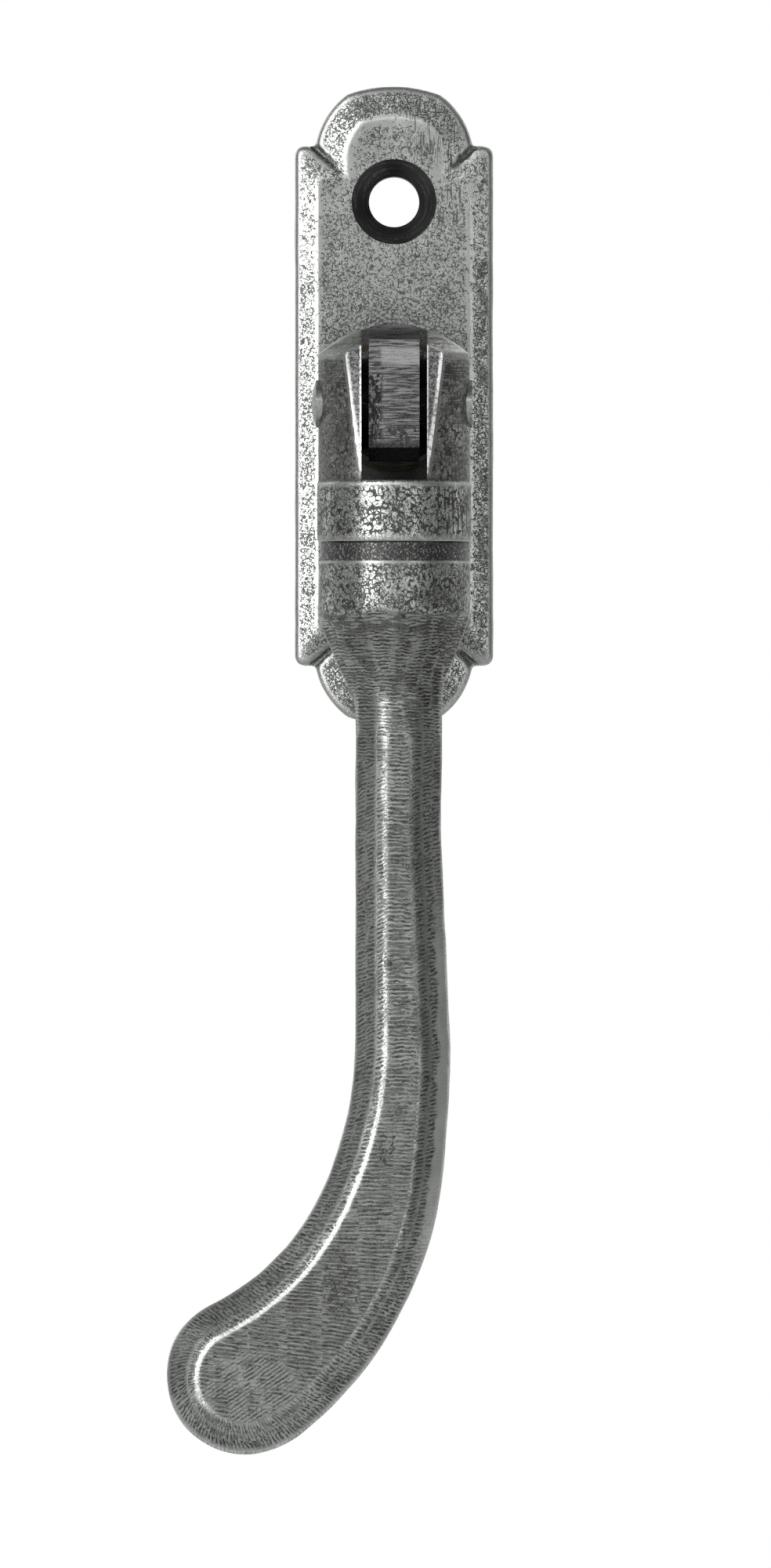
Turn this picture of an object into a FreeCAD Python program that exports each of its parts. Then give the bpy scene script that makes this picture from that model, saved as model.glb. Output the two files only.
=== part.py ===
# Espagnolette window handle: lobed backplate, sprung rotor, fork-and-tongue knuckle and forged pear-drop grip.
# +Z is up, the wall is the plane y = 0 and the front of the handle faces -Y.
# The origin is on the spindle's axis, at the plate's back face.

import FreeCAD
import Part
import Sketcher
import math
import os
import re
from FreeCAD import Placement, Rotation, Vector

doc = FreeCAD.newDocument("espagnolette_handle")

# Driving dimensions, in millimetres and degrees. "Out" is a distance from the wall.
SIZES = {
    "plate_width": 21.0,
    "slab_length": 54.8,
    "plate_length": 67.4,
    "plate_thick": 6.0,
    "side_bevel": 2.5,
    "end_bevel": 3.4,
    "bevel_rise": 1.0,
    "corner_round": 1.0,
    "lobe_radius": 8.4,
    "crown_radius": 14.0,
    "crown_drop": 0.7,
    "screw_pitch": 43.0,
    "screw_hole": 5.3,
    "screw_sink": 9.0,
    "recess_dia": 19.0,
    "recess_deep": 1.5,
    "chamber_deep": 3.0,
    "spring_room": 1.1,
    "journal_dia": 12.0,
    "running_gap": 0.05,
    "end_gap": 0.05,
    "bush_wall": 1.0,
    "bush_proud": 0.2,
    "turret_dia": 13.0,
    "turret_front": 10.5,
    "turret_edge": 0.4,
    "post_inset": 0.1,
    "cam_flats": 11.0,
    "spring_thick": 0.6,
    "spring_wide": 1.2,
    "spring_gap": 0.05,
    "spring_rise": 7.5,
    "spring_fall": 6.5,
    "washer_dia": 18.6,
    "washer_thick": 0.5,
    "washer_bore_gap": 0.1,
    "clip_thick": 0.5,
    "clip_wide": 1.6,
    "clip_bite": 0.4,
    "clip_mouth": 6.0,
    "spindle_square": 7.0,
    "spindle_reach": 35.0,
    "spindle_chamfer": 0.6,
    "socket_gap": 0.05,
    "socket_deep": 9.6,
    "cross_pin_dia": 2.0,
    "cross_pin_bore": 1.0,
    "cross_pin_slit": 0.3,
    "cross_pin_out": 7.7,
    "cross_pin_short": 0.6,
    "pivot_out": 20.0,
    "pivot_pin_dia": 5.0,
    "pin_head_proud": 0.7,
    "pin_tail_proud": 0.25,
    "pin_dome": 7.0,
    "tongue_wide": 5.3,
    "tongue_low": 6.0,
    "tongue_front": 6.2,
    "tongue_sweep": 7.75,
    "tongue_brow": 1.8,
    "tongue_top": 8.45,
    "tongue_crown": 7.0,
    "tongue_back": 42.0,
    "cheek_dia": 15.9,
    "collar_dia": 16.2,
    "collar_edge": 0.25,
    "collar_end": 14.5,
    "dome_top": 8.4,
    "dome_radius": 11.5,
    "slot_wide": 6.9,
    "slot_floor": 8.07,
    "milled_low": 7.2,
    "milled_high": 5.7,
    "pivot_washer_dia": 9.5,
    "tenon_dia": 6.0,
    "groove_dia": 15.3,
    "groove_wide": 2.0,
    "grip_collar_dia": 16.0,
    "grip_collar_long": 5.7,
    "taper_long": 8.4,
    "taper_dia": 9.8,
    "taper_curve": 7.0,
    "neck_dia": 8.2,
    "neck_end": 33.5,
    "blade_start": 24.0,
    "blade_lean": 6.0,
    "lean_from": 27.0,
    "bar_inner": 4.1,
    "bar_outer": 4.95,
    "bar_waist": 45.0,
    "bar_top": 5.2,
    "bend_from": 66.9,
    "bend_soft": 37.6,
    "bend_soft_turn": 27.0,
    "bend_tight": 24.5,
    "bend_tight_turn": 37.0,
    "tip_radius": 8.15,
    "heel_radius": 9.5,
    "heel_turn": 38.4,
    "flank_radius": 40.0,
    "flank_turn": 44.6,
    "back_radius": 120.0,
    "blade_deep": 8.6,
    "face_bevel": 2.9,
    "bevel_deep": 2.3,
}

sheet = doc.addObject("Spreadsheet::Sheet", "Sizes")
for row, (alias, number) in enumerate(SIZES.items(), start=1):
    sheet.set(f"A{row}", alias)
    sheet.set(f"B{row}", str(number))
    sheet.setAlias(f"B{row}", alias)
doc.recompute()


def bound(text):
    """An expression on the sheet, from one written with the bare names of the sizes."""
    return re.sub(r"[a-z_]+", lambda m: f"Sizes.{m.group()}" if m.group() in SIZES else m.group(), text)


def value(text):
    """The number that an expression has now."""
    result = sheet.evalExpression(bound(text))
    return float(getattr(result, "Value", result))


# Turns for a piece made along +Z: upright, facing out of the wall, and lying across from left to right.
UPRIGHT = Rotation()
FACING = Rotation(Vector(1, 0, 0), 90)
ACROSS = Rotation(Vector(0, 1, 0), 90)


def place(item, turn=UPRIGHT, x=None, y=None, z=None):
    """Turns a piece and binds its position to the sheet."""
    item.Placement = Placement(Vector(), turn)
    for axis, text in (("x", x), ("y", y), ("z", z)):
        if text:
            item.setExpression(f".Placement.Base.{axis}", bound(text))
    return item


# Sketches


def sketch_on(body, name, plane, offset=None):
    """An empty sketch on one of the body's own planes, or parallel to it."""
    sketch = body.newObject("Sketcher::SketchObject", name)
    origin_plane = next(o for o in body.Origin.OriginFeatures if o.Role == plane)
    sketch.AttachmentSupport = [(origin_plane, "")]
    sketch.MapMode = "FlatFace"
    if offset:
        sketch.setExpression(".AttachmentOffset.Base.z", bound(offset))
    return sketch


def bind(sketch, kind, text, *where):
    """One dimension of a sketch, tied to the sheet."""
    held = sketch.addConstraint(Sketcher.Constraint(kind, *where, value(text)))
    sketch.setExpression(f"Constraints[{held}]", bound(text))


def arc_between(start, finish, radius):
    """The short arc between two points. A positive radius bulges to the left of the way along it."""
    half = (finish - start).Length / 2
    left = Vector(start.y - finish.y, finish.x - start.x, 0).normalize()
    rise = abs(radius) - math.sqrt(max(radius**2 - half**2, 0))
    return Part.Arc(start, (start + finish) / 2 + left * math.copysign(rise, radius), finish)


def draw(sketch, steps):
    """A closed outline through steps of (x, y) or (x, y, radius of the arc that arrives there), all bound."""
    corners = [Vector(value(step[0]), value(step[1]), 0) for step in steps]
    ends = []
    for index, step in enumerate(steps):
        start, finish = corners[index - 1], corners[index]
        edge = arc_between(start, finish, value(step[2])) if len(step) == 3 else Part.LineSegment(start, finish)
        geometry = sketch.addGeometry(edge, False)
        first = 1 if (sketch.getPoint(geometry, 1) - start).Length < 1e-6 else 2
        last = 3 - first
        ends.append((geometry, first, last))
        bind(sketch, "DistanceX", step[0], -1, 1, geometry, last)
        bind(sketch, "DistanceY", step[1], -1, 1, geometry, last)
        if len(step) == 3:
            bind(sketch, "Radius", step[2].lstrip("-"), geometry)
    for (geometry, _, last), (following, first, _) in zip(ends, ends[1:] + ends[:1]):
        sketch.addConstraint(Sketcher.Constraint("Coincident", geometry, last, following, first))
    return sketch


def draw_circle(sketch, radius, x="0", y="0"):
    centre = Vector(value(x), value(y), 0)
    geometry = sketch.addGeometry(Part.Circle(centre, Vector(0, 0, 1), value(radius)), False)
    bind(sketch, "DistanceX", x, -1, 1, geometry, 3)
    bind(sketch, "DistanceY", y, -1, 1, geometry, 3)
    bind(sketch, "Radius", radius, geometry)
    return sketch


def rectangle(left, right, low, high):
    return [(left, low), (right, low), (right, high), (left, high)]


# Features


def new_body(name):
    return doc.addObject("PartDesign::Body", name)


def turned(name, steps):
    """A body turned about its own Z axis, from a profile of radius and height."""
    body = new_body(name)
    profile = draw(sketch_on(body, f"{name}_profile", "XZ_Plane"), steps)
    spin = body.newObject("PartDesign::Revolution", f"{name}_turning")
    spin.Profile = profile
    spin.ReferenceAxis = (profile, ["V_Axis"])
    return body


def feature(body, kind, name, sketch, length, both_ways=False, reverse=False):
    """A pad or pocket of one sketch, of a bound length."""
    item = body.newObject(f"PartDesign::{kind}", name)
    item.Profile = sketch
    item.setExpression("Length", bound(length))
    item.Reversed = reverse
    if both_ways:
        item.SideType = "Symmetric"
    return item


def rod(name, radius, length, turn, x=None, y=None, z=None):
    """A plain round bar."""
    bar = doc.addObject("Part::Cylinder", name)
    bar.setExpression("Radius", bound(radius))
    bar.setExpression("Height", bound(length))
    return place(bar, turn, x, y, z)


def block(name, wide, deep, high, x, y, z):
    """A plain box, from its lowest corner."""
    box = doc.addObject("Part::Box", name)
    for side, text in (("Length", wide), ("Width", deep), ("Height", high)):
        box.setExpression(side, bound(text))
    return place(box, UPRIGHT, x, y, z)


def joined(name, *pieces):
    union = doc.addObject("Part::MultiFuse", name)
    union.Shapes = list(pieces)
    union.Refine = True
    return union


def cut(name, base, *tools):
    result = doc.addObject("Part::Cut", name)
    result.Base = base
    result.Tool = tools[0] if len(tools) == 1 else joined(f"{name}_tools", *tools)
    result.Refine = True
    return result


def lofted(name, *sections):
    """A solid ruled from section to section."""
    loft = doc.addObject("Part::Loft", name)
    loft.Sections = list(sections)
    loft.Solid = True
    loft.Ruled = True
    return loft


# Heights out of the wall that several pieces share.
CLIP_BACK = "(recess_deep - end_gap - washer_thick - clip_thick)"
WASHER_BACK = "(recess_deep - end_gap - washer_thick)"
WASHER_FACE = "(recess_deep - end_gap)"
BUSH_FACE = "(plate_thick + bush_proud)"
SHOULDER = "(plate_thick + bush_proud + end_gap)"
SPRING_BACK = f"(({WASHER_FACE} + chamber_deep - spring_wide)/2)"

# Half widths and radii that several pieces share.
JOURNAL = "(journal_dia/2)"
BUSH_BORE = "(journal_dia/2 + running_gap)"
BUSH_OUTSIDE = "(journal_dia/2 + running_gap + bush_wall)"
SPRING_INSIDE = "(cam_flats/2 + spring_gap)"
SPRING_OUTSIDE = "(cam_flats/2 + spring_gap + spring_thick)"
PIVOT_HOLE = "(pivot_pin_dia/2 + running_gap)"
LOBE_CENTRE = "(plate_length/2 + crown_drop - lobe_radius)"


# Backplate: a bevelled slab crossed by a longer lobed bar of the same height, whose bevels meet in valleys.


def slab_section(body, name, wide, high, rounding, out):
    """One level of the slab, with its corners rounded."""
    steps = []
    for sx, sy, rising in (("-", "-", False), ("", "-", True), ("", "", False), ("-", "", True)):
        on_side = (f"{sx}({wide})/2", f"{sy}(({high})/2 - {rounding})")
        on_end = (f"{sx}(({wide})/2 - {rounding})", f"{sy}({high})/2")
        start, finish = (on_end, on_side) if rising else (on_side, on_end)
        steps += [start, (*finish, f"-{rounding}")]
    return draw(sketch_on(body, name, "XZ_Plane", out), steps)


def lobe_section(body, name, inset, out):
    """One level of the lobed bar: straight sides, round shoulders and a flatter crown at each end."""
    side = f"(lobe_radius - {inset})"
    crown = f"(crown_radius - {inset})"
    crown_centre = "(plate_length/2 - crown_radius)"
    apart = f"({LOBE_CENTRE} - {crown_centre})"
    meet_z = f"(({crown}^2 - {side}^2 + {LOBE_CENTRE}^2 - {crown_centre}^2) / (2*{apart}))"
    meet_x = f"sqrt({crown}^2 - ({meet_z} - {crown_centre})^2)"
    steps = [
        (f"-{meet_x}", f"-{meet_z}", f"-{side}"),
        (meet_x, f"-{meet_z}", f"-{crown}"),
        (side, f"-{LOBE_CENTRE}", f"-{side}"),
        (side, LOBE_CENTRE),
        (meet_x, meet_z, f"-{side}"),
        (f"-{meet_x}", meet_z, f"-{crown}"),
        (f"-{side}", LOBE_CENTRE, f"-{side}"),
        (f"-{side}", f"-{LOBE_CENTRE}"),
    ]
    return draw(sketch_on(body, name, "XZ_Plane", out), steps)


def spring_chamber():
    """The round-ended recess that the hairpin lies in, from the plate's back face."""
    body = new_body("spring_chamber")
    half = f"({SPRING_OUTSIDE} + spring_room)"
    steps = [
        ("0", f"-spring_fall - {half}", f"-{half}"),
        (half, "-spring_fall", f"-{half}"),
        (half, "spring_rise + spring_room"),
        (f"-{half}", "spring_rise + spring_room"),
        (f"-{half}", "-spring_fall"),
    ]
    outline = draw(sketch_on(body, "chamber_outline", "XZ_Plane"), steps)
    feature(body, "Pad", "chamber_pad", outline, "chamber_deep")
    return body


def make_backplate():
    drawing = new_body("plate_drawing")
    edge = "plate_thick - bevel_rise"
    face_wide = "plate_width - 2*side_bevel"
    face_high = "slab_length - 2*end_bevel"
    slab_back = slab_section(drawing, "slab_back", "plate_width", "slab_length", "corner_round", "0")
    slab_edge = slab_section(drawing, "slab_edge", "plate_width", "slab_length", "corner_round", edge)
    slab_face = slab_section(drawing, "slab_face", face_wide, face_high, "corner_round/2", "plate_thick")
    lobe_back = lobe_section(drawing, "lobe_back", "0", "0")
    lobe_edge = lobe_section(drawing, "lobe_edge", "0", edge)
    lobe_face = lobe_section(drawing, "lobe_face", "end_bevel", "plate_thick")
    slab = lofted("slab", slab_back, slab_edge, slab_face)
    lobes = lofted("lobes", lobe_back, lobe_edge, lobe_face)
    tools = [
        rod("spindle_bore", BUSH_OUTSIDE, "plate_thick", FACING),
        rod("washer_recess", "recess_dia/2", "recess_deep", FACING),
        spring_chamber(),
    ]
    for side, sign in (("top", ""), ("low", "-")):
        middle = f"{sign}screw_pitch/2"
        sink_deep = "(screw_sink - screw_hole)/2"
        tools.append(rod(f"{side}_screw_hole", "screw_hole/2", "plate_thick", FACING, z=middle))
        sink = doc.addObject("Part::Cone", f"{side}_screw_sink")
        sink.setExpression("Radius1", bound("screw_hole/2"))
        sink.setExpression("Radius2", bound("screw_sink/2"))
        sink.setExpression("Height", bound(sink_deep))
        tools.append(place(sink, FACING, y=f"{sink_deep} - plate_thick", z=middle))
    return cut("backplate", joined("plate_blank", slab, lobes), *tools)


# Rotor: the sleeve it runs in, the spring that clicks it into place, and what keeps it in the plate.


def make_rotor_bush():
    steps = rectangle(BUSH_BORE, BUSH_OUTSIDE, "chamber_deep", BUSH_FACE)
    return place(turned("rotor_bush", steps), FACING)


def make_detent_spring():
    """A hairpin of flat spring strip whose legs press on two of the journal's four flats."""
    body = new_body("detent_spring")
    steps = [
        (SPRING_OUTSIDE, "spring_rise"),
        (SPRING_INSIDE, "spring_rise"),
        (SPRING_INSIDE, "-spring_fall"),
        ("0", f"-spring_fall - {SPRING_INSIDE}", SPRING_INSIDE),
        (f"-{SPRING_INSIDE}", "-spring_fall", SPRING_INSIDE),
        (f"-{SPRING_INSIDE}", "spring_rise"),
        (f"-{SPRING_OUTSIDE}", "spring_rise"),
        (f"-{SPRING_OUTSIDE}", "-spring_fall"),
        ("0", f"-spring_fall - {SPRING_OUTSIDE}", f"-{SPRING_OUTSIDE}"),
        (SPRING_OUTSIDE, "-spring_fall", f"-{SPRING_OUTSIDE}"),
    ]
    outline = draw(sketch_on(body, "spring_outline", "XZ_Plane", SPRING_BACK), steps)
    feature(body, "Pad", "spring_pad", outline, "spring_wide")
    return body


def make_retaining_washer():
    bore = "(journal_dia/2 + washer_bore_gap)"
    steps = rectangle(bore, "washer_dia/2", WASHER_BACK, WASHER_FACE)
    return place(turned("retaining_washer", steps), FACING)


def make_circlip():
    seat = "(journal_dia/2 - clip_bite)"
    ring = turned("clip_ring", rectangle(seat, f"{seat} + clip_wide", CLIP_BACK, f"{CLIP_BACK} + clip_thick"))
    place(ring, FACING)
    corner = ("-clip_mouth/2", "-recess_deep", "0")
    mouth = block("clip_opening", "clip_mouth", "recess_deep", "journal_dia", *corner)
    return cut("circlip", ring, mouth)


def make_pivot_post():
    """Journal, turret and tongue in one piece. In its own frame +Z is out of the wall and +Y is up."""
    groove = "(journal_dia/2 - clip_bite)"
    clip_face = f"{CLIP_BACK} + clip_thick"
    steps = [
        ("0", "post_inset"),
        (JOURNAL, "post_inset"),
        (JOURNAL, CLIP_BACK),
        (groove, CLIP_BACK),
        (groove, clip_face),
        (JOURNAL, clip_face),
        (JOURNAL, SHOULDER),
        ("turret_dia/2", SHOULDER),
        ("turret_dia/2", "turret_front - turret_edge"),
        ("turret_dia/2 - turret_edge", "turret_front"),
        ("0", "turret_front"),
    ]
    body = turned("pivot_post", steps)
    toe_x = "pivot_out + sqrt(tongue_sweep^2 - tongue_low^2)"
    toe_z = "-sqrt(tongue_sweep^2 - tongue_front^2)"
    root = "turret_front - turret_edge - end_gap"
    tongue = [
        ("-tongue_low", root),
        ("tongue_low", root),
        ("tongue_top", "pivot_out + tongue_front - tongue_brow", "tongue_back"),
        ("(tongue_top - tongue_brow)", "pivot_out + tongue_front", "tongue_brow"),
        (toe_z, "pivot_out + tongue_front"),
        ("-tongue_low", toe_x, "tongue_sweep"),
    ]
    profile = draw(sketch_on(body, "tongue_profile", "YZ_Plane"), tongue)
    feature(body, "Pad", "tongue_pad", profile, "tongue_wide", both_ways=True)
    crown_side = "(tongue_top - tongue_crown + sqrt(tongue_crown^2 - (slot_wide/2)^2))"
    above = "(tongue_top + 1)"
    crown = sketch_on(body, "tongue_crown_outline", "XY_Plane", "turret_front")
    steps = [
        ("-slot_wide/2", crown_side, "-tongue_crown"),
        ("-slot_wide/2", above),
        ("slot_wide/2", above),
        ("slot_wide/2", crown_side),
    ]
    feature(body, "Pocket", "tongue_crown_cut", draw(crown, steps), "pivot_out", reverse=True)
    square = "(spindle_square/2 + socket_gap)"
    socket = sketch_on(body, "socket_outline", "XY_Plane", "post_inset")
    draw(socket, rectangle(f"-{square}", square, f"-{square}", square))
    feature(body, "Pocket", "spindle_socket", socket, "socket_deep - post_inset", reverse=True)
    flats = sketch_on(body, "cam_outline", "XY_Plane", WASHER_FACE)
    for half in ("cam_flats/2", f"{JOURNAL} + spring_thick"):
        draw(flats, rectangle(f"-({half})", half, f"-({half})", half))
    feature(body, "Pocket", "cam_flat_cut", flats, f"chamber_deep - {WASHER_FACE}", reverse=True)
    cross = sketch_on(body, "cross_hole_outline", "YZ_Plane")
    draw_circle(cross, "cross_pin_dia/2", "0", "cross_pin_out")
    feature(body, "Pocket", "cross_hole", cross, "2*turret_dia", both_ways=True)
    bore = draw_circle(sketch_on(body, "pivot_hole_outline", "YZ_Plane"), PIVOT_HOLE, "0", "pivot_out")
    feature(body, "Pocket", "pivot_hole", bore, "2*tongue_wide", both_ways=True)
    return place(body, FACING)


def make_spindle_bar():
    """The square bar that turns the lock, chamfered at the end that enters it."""
    body = new_body("spindle_bar")
    half = "(spindle_square/2)"
    square = rectangle(f"-{half}", half, f"-{half}", half)
    outline = draw(sketch_on(body, "bar_outline", "XY_Plane", "-spindle_reach"), square)
    pad = feature(body, "Pad", "bar_pad", outline, "spindle_reach + socket_deep - end_gap")
    doc.recompute()
    lowest = body.Shape.BoundBox.ZMin
    names = [f"Edge{i}" for i, e in enumerate(pad.Shape.Edges, start=1) if e.BoundBox.ZMax < lowest + 1e-6]
    chamfer = body.newObject("PartDesign::Chamfer", "bar_chamfer")
    chamfer.Base = (pad, names)
    chamfer.setExpression("Size", bound("spindle_chamfer"))
    cross = sketch_on(body, "bar_hole_outline", "YZ_Plane")
    draw_circle(cross, "cross_pin_dia/2", "0", "cross_pin_out")
    feature(body, "Pocket", "bar_hole", cross, "2*spindle_square", both_ways=True)
    return place(body, FACING)


def make_spindle_pin():
    """A rolled spring pin with its slit at the back, just short of flush in the turret."""
    length = "turret_dia - cross_pin_short"
    start = "-(turret_dia - cross_pin_short)/2"
    tube = rod("pin_tube", "cross_pin_dia/2", length, ACROSS, start, "-cross_pin_out")
    bore = rod("pin_bore", "cross_pin_bore/2", length, ACROSS, start, "-cross_pin_out")
    corner = (start, "-cross_pin_out", "-cross_pin_slit/2")
    slit = block("pin_slit", length, "cross_pin_dia", "cross_pin_slit", *corner)
    return cut("spindle_pin", tube, bore, slit)


# Knuckle: the fork that swings on the tongue, and its pin and washers.


def make_fork_head():
    """A round domed head, slotted for the tongue, milled flat in front and bored for the grip's tenon."""
    dome_centre = "(dome_top - dome_radius)"
    dome_start = f"{dome_centre} + sqrt(dome_radius^2 - (cheek_dia/2)^2)"
    steps = [
        ("0", "-collar_end"),
        ("collar_dia/2 - collar_edge", "-collar_end"),
        ("collar_dia/2", "-collar_end + collar_edge"),
        ("collar_dia/2", "-slot_floor - collar_edge"),
        ("cheek_dia/2", "-slot_floor"),
        ("cheek_dia/2", dome_start),
        ("0", "dome_top", "-dome_radius"),
    ]
    body = turned("fork_head", steps)
    above = "(dome_top + 1)"
    slot = draw(
        sketch_on(body, "slot_outline", "XZ_Plane"),
        rectangle("-slot_wide/2", "slot_wide/2", "-slot_floor", above),
    )
    feature(body, "Pocket", "slot", slot, "2*collar_dia", both_ways=True)
    milled = sketch_on(body, "milled_outline", "YZ_Plane")
    steps = [
        ("-collar_dia", "-slot_floor"),
        ("-milled_low", "-slot_floor"),
        ("-milled_high", above),
        ("-collar_dia", above),
    ]
    feature(body, "Pocket", "milled_front", draw(milled, steps), "2*collar_dia", both_ways=True)
    pin_hole = draw_circle(sketch_on(body, "pin_hole_outline", "YZ_Plane"), "pivot_pin_dia/2")
    feature(body, "Pocket", "pin_hole", pin_hole, "2*collar_dia", both_ways=True)
    tenon = draw_circle(sketch_on(body, "tenon_outline", "XY_Plane", "-collar_end"), "tenon_dia/2")
    feature(body, "Pocket", "tenon_bore", tenon, "collar_end - slot_floor", reverse=True)
    return place(body, UPRIGHT, y="-pivot_out")


def make_pivot_pin():
    """A pin with a domed head proud of the left cheek and a flat tail nearly flush in the right one."""
    sag = "(pin_dome - sqrt(pin_dome^2 - (pivot_pin_dia/2)^2))"
    head = "-(cheek_dia/2 + pin_head_proud)"
    tail = "(cheek_dia/2 + pin_tail_proud)"
    steps = [
        ("0", head),
        ("pivot_pin_dia/2", f"{head} + {sag}", "-pin_dome"),
        ("pivot_pin_dia/2", tail),
        ("0", tail),
    ]
    return place(turned("pivot_pin", steps), ACROSS, y="-pivot_out")


def make_pivot_washer(side, inner, outer):
    """Fills the gap between the tongue and a cheek, with a running gap at the tongue."""
    low, high = (f"-({outer})", f"-({inner})") if side == "left" else (inner, outer)
    steps = rectangle(PIVOT_HOLE, "pivot_washer_dia/2", low, high)
    return place(turned(f"pivot_washer_{side}", steps), ACROSS, y="-pivot_out")


# Grip


def blade_steps(inset):
    """The blade's outline, inset by a bevel: down the inner edge, round the drop and up the outer edge.

    The heading is the angle from straight down towards the left. Each bend starts where the last one ended.
    """
    turns = [
        ("bend_soft", "bend_soft_turn", 1),
        ("bend_tight", "bend_tight_turn", 1),
        ("tip_radius", "(bend_soft_turn + bend_tight_turn + 90)", -1),
        ("heel_radius", "heel_turn", -1),
        ("flank_radius", "flank_turn", -1),
        ("back_radius", "(90 - heel_turn - flank_turn)", -1),
    ]
    x = f"{inset} - bar_inner"
    z = "-bend_from"
    heading = "0"
    steps = [(x, "-blade_start"), (x, z)]
    for radius, turn, side in turns:
        sign = "+" if side > 0 else "-"
        reach = f"({radius} {sign} {inset})"
        onward = f"{heading} {sign} {turn}"
        x = f"{x} {sign} {reach}*(cos({onward}) - cos({heading}))"
        z = f"{z} {sign} {reach}*(sin({heading}) - sin({onward}))"
        steps.append((x, z, reach if side > 0 else f"-{reach}"))
        heading = onward
    steps.append((f"bar_outer - {inset}", "-bar_waist"))
    steps.append((f"bar_top - {inset}", "-blade_start"))
    return steps


def make_grip():
    """One forging: a tenon riveted in the fork, a turned collar and taper, and a flat bevelled blade."""
    shoulder = "(collar_end + groove_wide)"
    collar_low = f"({shoulder} + grip_collar_long)"
    taper_low = f"({collar_low} + taper_long)"
    steps = [
        ("0", "-slot_floor"),
        ("0", "-neck_end"),
        ("neck_dia/2", "-neck_end"),
        ("taper_dia/2", f"-{taper_low}", "taper_curve"),
        ("grip_collar_dia/2", f"-{collar_low}"),
        ("grip_collar_dia/2", f"-{shoulder} - collar_edge"),
        ("grip_collar_dia/2 - collar_edge", f"-{shoulder}"),
        ("groove_dia/2", f"-{shoulder}"),
        ("groove_dia/2", "-collar_end"),
        ("tenon_dia/2", "-collar_end"),
        ("tenon_dia/2", "-slot_floor"),
    ]
    neck = place(turned("neck", steps), UPRIGHT, y="-pivot_out")
    drawing = new_body("blade_drawing")
    levels = [
        ("blade_back", "face_bevel", "-blade_deep/2"),
        ("blade_back_edge", "0", "bevel_deep - blade_deep/2"),
        ("blade_front_edge", "0", "blade_deep/2 - bevel_deep"),
        ("blade_front", "face_bevel", "blade_deep/2"),
    ]
    sections = []
    for name, inset, out in levels:
        sections.append(draw(sketch_on(drawing, name, "XZ_Plane", out), blade_steps(inset)))
    blade = lofted("blade", *sections)
    lean_out = "lean_from*sin(blade_lean) - pivot_out"
    lean_down = "lean_from*(cos(blade_lean) - 1)"
    place(blade, Rotation(Vector(-1, 0, 0), value("blade_lean")), y=lean_out, z=lean_down)
    blade.setExpression(".Placement.Rotation.Angle", bound("blade_lean"))
    return joined("grip", neck, blade)


washer_inner = "tongue_wide/2 + end_gap"
NODES = [
    make_backplate(),
    make_rotor_bush(),
    make_detent_spring(),
    make_retaining_washer(),
    make_circlip(),
    make_pivot_post(),
    make_spindle_bar(),
    make_spindle_pin(),
    make_fork_head(),
    make_pivot_pin(),
    make_pivot_washer("left", washer_inner, "slot_wide/2"),
    make_pivot_washer("right", washer_inner, "slot_wide/2"),
    make_grip(),
]
doc.recompute()

for item in doc.Objects:
    if {"Invalid", "Error"} & set(item.State):
        raise RuntimeError(f"{item.Label} failed to rebuild")
os.makedirs("parts", exist_ok=True)
for node in NODES:
    shape = node.Shape
    if shape.isNull() or not shape.isValid() or not shape.Solids:
        raise RuntimeError(f"{node.Label} has no valid solid")
    shape.exportStep(f"parts/{node.Label}.step")
    print(f"{node.Label}: {len(shape.Solids)} solid, {shape.Volume:.1f} mm3")
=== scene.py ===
# %% [markdown]
# # A window handle in aged pewter
# An espagnolette handle closes a French window: a plate is screwed to the frame, a square spindle turns in
# it, and the handle hangs from the spindle by a knuckle. The mechanical parts arrive from the CAD as fixed
# meshes. This lesson dresses them: the plate, the knuckle's head and the forged grip are modelled again with
# the soft edges and dents of the real metal, and every piece gets a finish made of nodes. The handle's own
# sizes are written in millimetres and become metres where Blender takes them.

import math

import bmesh
import bpy
import numpy as np
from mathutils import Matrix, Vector


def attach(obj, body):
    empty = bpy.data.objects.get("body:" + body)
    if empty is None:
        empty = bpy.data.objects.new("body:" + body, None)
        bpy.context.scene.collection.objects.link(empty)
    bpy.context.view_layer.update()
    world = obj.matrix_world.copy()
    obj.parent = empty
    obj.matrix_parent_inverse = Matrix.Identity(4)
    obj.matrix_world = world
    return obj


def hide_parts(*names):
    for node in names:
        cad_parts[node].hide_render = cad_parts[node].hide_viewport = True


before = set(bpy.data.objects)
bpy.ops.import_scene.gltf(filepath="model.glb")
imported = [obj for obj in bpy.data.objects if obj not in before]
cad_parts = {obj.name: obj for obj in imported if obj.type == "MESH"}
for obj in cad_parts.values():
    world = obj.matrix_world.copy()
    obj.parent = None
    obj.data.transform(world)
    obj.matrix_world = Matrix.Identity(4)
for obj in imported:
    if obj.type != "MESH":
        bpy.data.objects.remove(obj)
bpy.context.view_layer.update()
print("nodes:", sorted(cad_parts))
MM = 0.001
# The pivot pin and the axis of all turned parts lie this far in front of the window frame.
PIVOT_Y = -20.0

# %% [markdown]
# ## The camera
# The photograph is a catalogue cut-out taken from straight ahead through a long lens, so vertical edges stay
# vertical and nothing behind the handle shows. A camera three metres away with a very long lens repeats that.
# The picture is 164.8 mm high at the middle of the handle's depth, 14 mm in front of the window frame.

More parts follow.
